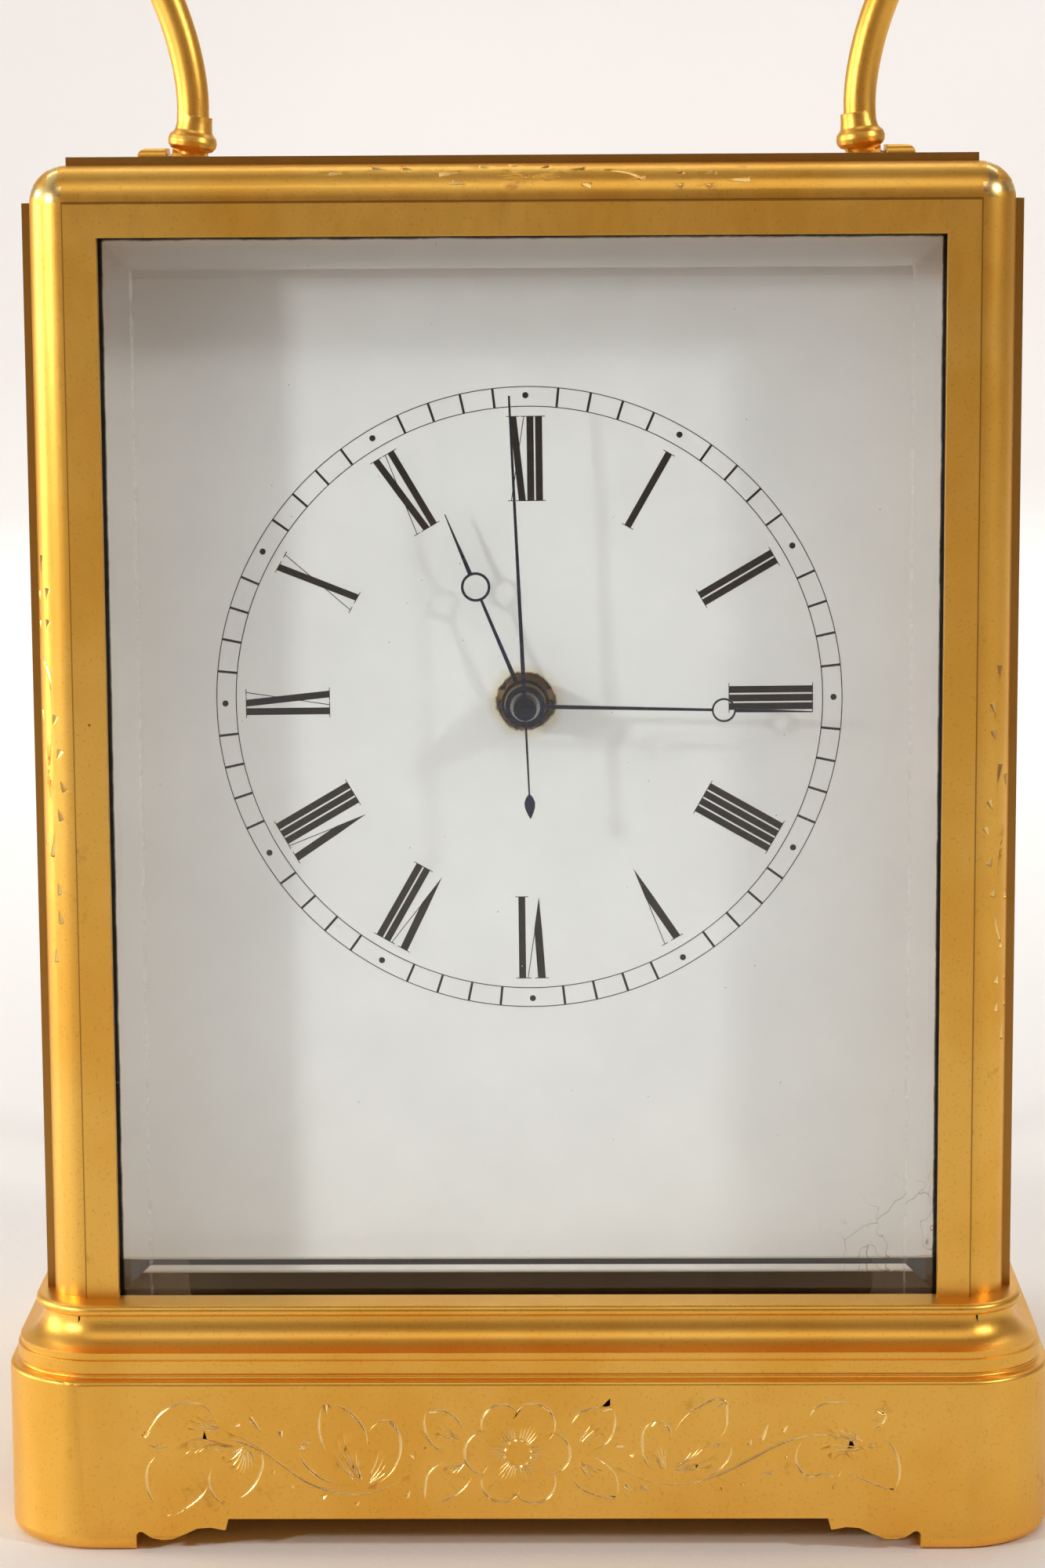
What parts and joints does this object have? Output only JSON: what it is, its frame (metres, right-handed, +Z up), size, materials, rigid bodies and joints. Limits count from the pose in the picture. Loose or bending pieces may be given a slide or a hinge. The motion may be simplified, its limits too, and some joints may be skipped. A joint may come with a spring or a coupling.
{
  "type": "carriage clock",
  "caption": "Gilt brass carriage clock with bevelled glasses, white enamel dial, blued hands, bail handle, moulded bracket-foot base and a key-wound lever-platform movement.",
  "frame": {"origin": "middle of the footprint, on the ground under the feet", "axes": "+Z up, the dial faces -Y, +X is to the viewer's right"},
  "size_m": [0.1048, 0.0934, 0.1741],
  "materials": {
    "gilt_brass": "satin mercury gilding over brass",
    "movement_brass": "grained and lacquered brass",
    "polished_steel": "polished hardened steel",
    "blued_steel": "steel tempered to a dark blue",
    "glass": "bevelled clear glass",
    "white_enamel": "white vitreous enamel on copper, black printed numerals",
    "copper": "plain copper",
    "ruby": "polished synthetic ruby"
  },
  "bodies": {
    "case": {"base": "gilt_brass", "case_body": "gilt_brass", "front_glass": "glass", "left_glass": "glass", "right_glass": "glass", "top_glass": "glass", "door_pins": "polished_steel", "handle_lugs": "gilt_brass", "handle_pins": "polished_steel", "case_screws": "polished_steel", "movement_screws": "polished_steel", "dial": "white_enamel", "dial_feet": "copper", "front_plate": "movement_brass", "back_plate": "movement_brass", "movement_pillars": "movement_brass", "plate_screws": "polished_steel", "click_spring": "polished_steel", "centre_tube": "movement_brass", "minute_stud": "polished_steel", "platform": "movement_brass", "platform_screws": "polished_steel", "train_cock": "movement_brass", "balance_cock": "movement_brass", "platform_jewels": "ruby", "hairspring": "blued_steel"},
    "door": {"rear_door": "gilt_brass", "rear_glass": "glass"},
    "knob": {"door_knob": "gilt_brass", "door_latch": "movement_brass"},
    "bail": {"handle": "gilt_brass"},
    "minute": {"cannon_pinion": "polished_steel", "minute_hand": "blued_steel"},
    "hour": {"hour_wheel": "movement_brass", "hour_hand": "blued_steel"},
    "seconds": {"seconds_arbor": "polished_steel", "seconds_hand": "blued_steel"},
    "hour_arbor": {"drive_arbor": "polished_steel", "drive_wheel": "movement_brass"},
    "minute_gear": {"minute_wheel": "movement_brass"},
    "third": {"third_wheel": "movement_brass", "third_arbor": "polished_steel"},
    "contrate": {"contrate_wheel": "movement_brass", "contrate_arbor": "polished_steel"},
    "intermediate": {"intermediate_wheel": "movement_brass", "intermediate_arbor": "polished_steel"},
    "barrel": {"mainspring_barrel": "movement_brass", "barrel_cap": "movement_brass", "mainspring": "polished_steel"},
    "winding": {"barrel_arbor": "polished_steel", "ratchet_wheel": "polished_steel"},
    "pawl": {"click": "polished_steel"},
    "setting": {"hand_set_arbor": "polished_steel"},
    "escape": {"escape_wheel": "movement_brass", "escape_arbor": "polished_steel"},
    "lever": {"lever": "polished_steel", "pallet_stones": "ruby"},
    "balance": {"balance_wheel": "movement_brass", "balance_staff": "polished_steel"},
    "index": {"regulator": "blued_steel"}
  },
  "joints": [
    {"name": "minute_spin", "type": "hinge", "parent": "case", "child": "minute", "pos_m": [0, 0, 0.083], "axis": [0, 1, 0], "continuous": true},
    {"name": "hour_spin", "type": "hinge", "parent": "case", "child": "hour", "pos_m": [0, 0, 0.083], "axis": [0, 1, 0], "continuous": true},
    {"name": "seconds_spin", "type": "hinge", "parent": "case", "child": "seconds", "pos_m": [0, 0, 0.083], "axis": [0, 1, 0], "continuous": true},
    {"name": "hour_arbor_spin", "type": "hinge", "parent": "case", "child": "hour_arbor", "pos_m": [-0.01841, 0, 0.07561], "axis": [0, 1, 0], "continuous": true},
    {"name": "minute_gear_spin", "type": "hinge", "parent": "case", "child": "minute_gear", "pos_m": [-0.00669, 0, 0.07304], "axis": [0, 1, 0], "continuous": true},
    {"name": "third_spin", "type": "hinge", "parent": "case", "child": "third", "pos_m": [-0.01375, 0, 0.093], "axis": [0, 1, 0], "continuous": true},
    {"name": "contrate_spin", "type": "hinge", "parent": "case", "child": "contrate", "pos_m": [0, 0, 0.103], "axis": [0, 1, 0], "continuous": true},
    {"name": "intermediate_spin", "type": "hinge", "parent": "case", "child": "intermediate", "pos_m": [-0.00555, 0, 0.06029], "axis": [0, 1, 0], "continuous": true},
    {"name": "barrel_spin", "type": "hinge", "parent": "case", "child": "barrel", "pos_m": [0.01214, 0, 0.0479], "axis": [0, 1, 0], "continuous": true},
    {"name": "hand_setting", "type": "hinge", "parent": "case", "child": "setting", "pos_m": [0.00459, 0, 0.07714], "axis": [0, 1, 0], "continuous": true},
    {"name": "escape_spin", "type": "hinge", "parent": "case", "child": "escape", "pos_m": [0, 0.00143, 0.11762], "axis": [0, 0, 1], "continuous": true},
    {"name": "winding_turn", "type": "hinge", "parent": "case", "child": "winding", "pos_m": [0.01214, 0, 0.0479], "axis": [0, 1, 0], "range_deg": [-1440, 0], "deforming": ["mainspring"]},
    {"name": "click_lift", "type": "hinge", "parent": "case", "child": "pawl", "pos_m": [0.01705, 0, 0.05842], "axis": [0, 1, 0], "range_deg": [0, 12], "stiffness_Nm_per_rad": 0.0002, "deforming": ["click_spring"]},
    {"name": "lever_rock", "type": "hinge", "parent": "case", "child": "lever", "pos_m": [0.005, 0.00143, 0.11762], "axis": [0, 0, 1], "range_deg": [-4, 4]},
    {"name": "balance_swing", "type": "hinge", "parent": "case", "child": "balance", "pos_m": [0.0125, 0.00143, 0.12072], "axis": [0, 0, 1], "range_deg": [-150, 150], "stiffness_Nm_per_rad": 0.000003, "deforming": ["hairspring"]},
    {"name": "regulator_turn", "type": "hinge", "parent": "case", "child": "index", "pos_m": [0.0125, 0.00143, 0.12448], "axis": [0, 0, 1], "range_deg": [-25, 25]},
    {"name": "door_swing", "type": "hinge", "parent": "case", "child": "door", "pos_m": [0.0424, 0.0394, 0.083], "axis": [0, 0, -1], "range_deg": [0, 95]},
    {"name": "knob_turn", "type": "hinge", "parent": "door", "child": "knob", "pos_m": [-0.0403, 0.0378, 0.083], "axis": [0, 1, 0], "range_deg": [-90, 0]},
    {"name": "handle_swing", "type": "hinge", "parent": "case", "child": "bail", "pos_m": [0, 0, 0.1371], "axis": [1, 0, 0], "range_deg": [-36, 36]}
  ],
  "couplings": [
    {"joint": "hour_spin", "follows": "minute_spin", "ratio": 0.083333},
    {"joint": "seconds_spin", "follows": "minute_spin", "ratio": 60},
    {"joint": "hour_arbor_spin", "follows": "minute_spin", "ratio": 1},
    {"joint": "minute_gear_spin", "follows": "minute_spin", "ratio": -0.33333},
    {"joint": "third_spin", "follows": "minute_spin", "ratio": -8},
    {"joint": "contrate_spin", "follows": "minute_spin", "ratio": 60},
    {"joint": "intermediate_spin", "follows": "minute_spin", "ratio": -0.14286},
    {"joint": "barrel_spin", "follows": "minute_spin", "ratio": 0.020408},
    {"joint": "hand_setting", "follows": "minute_spin", "ratio": 1},
    {"joint": "escape_spin", "follows": "minute_spin", "ratio": 600}
  ]
}
